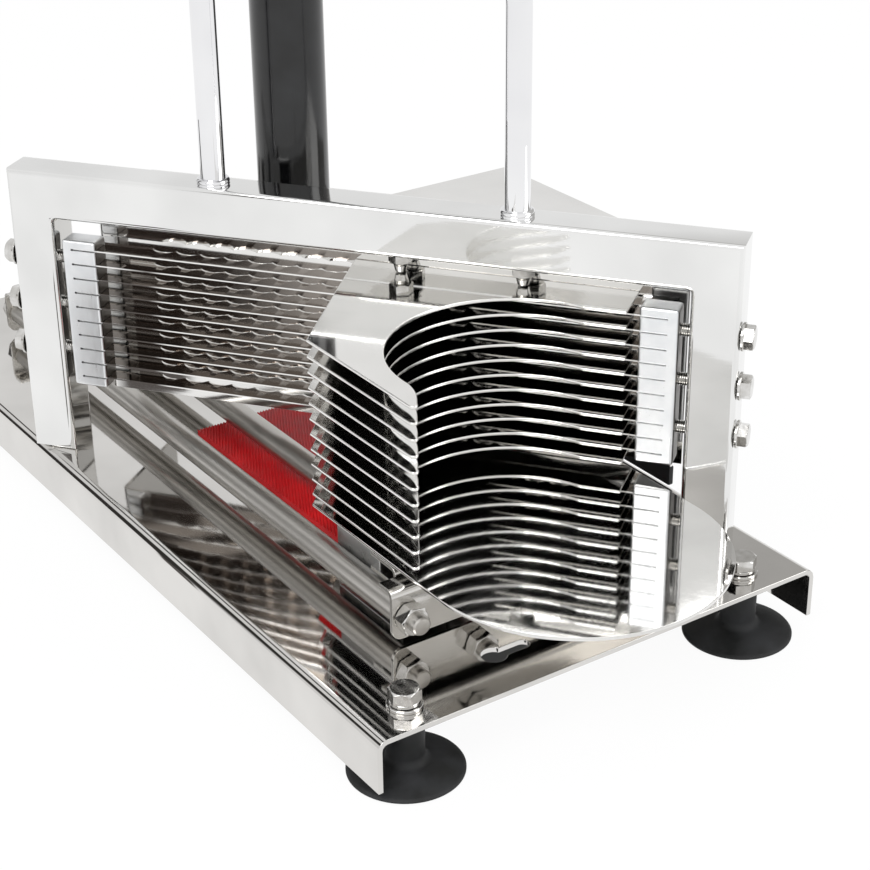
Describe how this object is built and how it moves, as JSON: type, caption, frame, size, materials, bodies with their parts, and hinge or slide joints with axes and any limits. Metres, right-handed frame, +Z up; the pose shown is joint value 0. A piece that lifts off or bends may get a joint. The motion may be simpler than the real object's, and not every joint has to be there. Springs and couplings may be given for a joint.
{
  "type": "tomato slicer",
  "caption": "Hand-operated tomato slicer: a pusher with stacked curved plates slides on rods and drives the fruit through a slanted frame of scalloped blades",
  "frame": {"origin": "middle of the footprint at the level the suction feet stand on", "axes": "+Z up, +Y from the near end with the keyhole towards the far end, +X across the base"},
  "size_m": [0.1934, 0.4486, 0.2537],
  "materials": {
    "base_steel": "polished stainless sheet",
    "frame_steel": "mirror polished stainless",
    "tray_steel": "mirror polished stainless",
    "hood_steel": "polished stainless sheet",
    "plate_steel": "satin stainless, polished edges",
    "folded_steel": "satin stainless",
    "blade_steel": "ground stainless blade",
    "rod_steel": "ground rod",
    "fastener_steel": "bright stainless hardware",
    "chrome": "polished",
    "aluminium": "satin",
    "foot_rubber": "matt black rubber",
    "grip_black": "gloss black",
    "mat_red": "ribbed dark red rubber"
  },
  "bodies": {
    "stand": {"base_plate": "base_steel", "suction_foot_1": "foot_rubber", "foot_bolt_1": "fastener_steel", "suction_foot_2": "foot_rubber", "foot_bolt_2": "fastener_steel", "suction_foot_3": "foot_rubber", "foot_bolt_3": "fastener_steel", "suction_foot_4": "foot_rubber", "foot_bolt_4": "fastener_steel", "blade_frame": "frame_steel", "blade_block_left": "aluminium", "blade_block_right": "aluminium", "blade_01": "blade_steel", "blade_02": "blade_steel", "blade_03": "blade_steel", "blade_04": "blade_steel", "blade_05": "blade_steel", "blade_06": "blade_steel", "blade_07": "blade_steel", "blade_08": "blade_steel", "blade_09": "blade_steel", "blade_10": "blade_steel", "tension_bolt_left_1": "fastener_steel", "tension_bolt_right_1": "fastener_steel", "tension_bolt_left_2": "fastener_steel", "tension_bolt_right_2": "fastener_steel", "tension_bolt_left_3": "fastener_steel", "tension_bolt_right_3": "fastener_steel", "top_handle": "chrome", "top_handle_grip": "grip_black", "hold_down_screw_1": "fastener_steel", "hold_down_screw_2": "fastener_steel", "rod_bracket_front": "folded_steel", "rod_bracket_rear": "folded_steel", "guide_rod_outer": "rod_steel", "rod_nut_front_outer": "fastener_steel", "rod_nut_rear_outer": "fastener_steel", "guide_rod_inner": "rod_steel", "rod_nut_front_inner": "fastener_steel", "rod_nut_rear_inner": "fastener_steel", "ribbed_mat": "mat_red"},
    "pusher": {"pusher_tray": "tray_steel", "pusher_plate_01": "plate_steel", "pusher_plate_02": "plate_steel", "pusher_plate_03": "plate_steel", "pusher_plate_04": "plate_steel", "pusher_plate_05": "plate_steel", "pusher_plate_06": "plate_steel", "pusher_plate_07": "plate_steel", "pusher_plate_08": "plate_steel", "pusher_plate_09": "plate_steel", "pusher_plate_10": "plate_steel", "pusher_plate_11": "plate_steel", "pusher_body": "hood_steel", "push_grip": "grip_black", "carriage_channel": "folded_steel", "slide_shoe": "aluminium"}
  },
  "joints": [
    {"name": "pusher_slide", "type": "slide", "parent": "stand", "child": "pusher", "axis": [0, 1, 0], "range_m": [0, 0.15]}
  ]
}
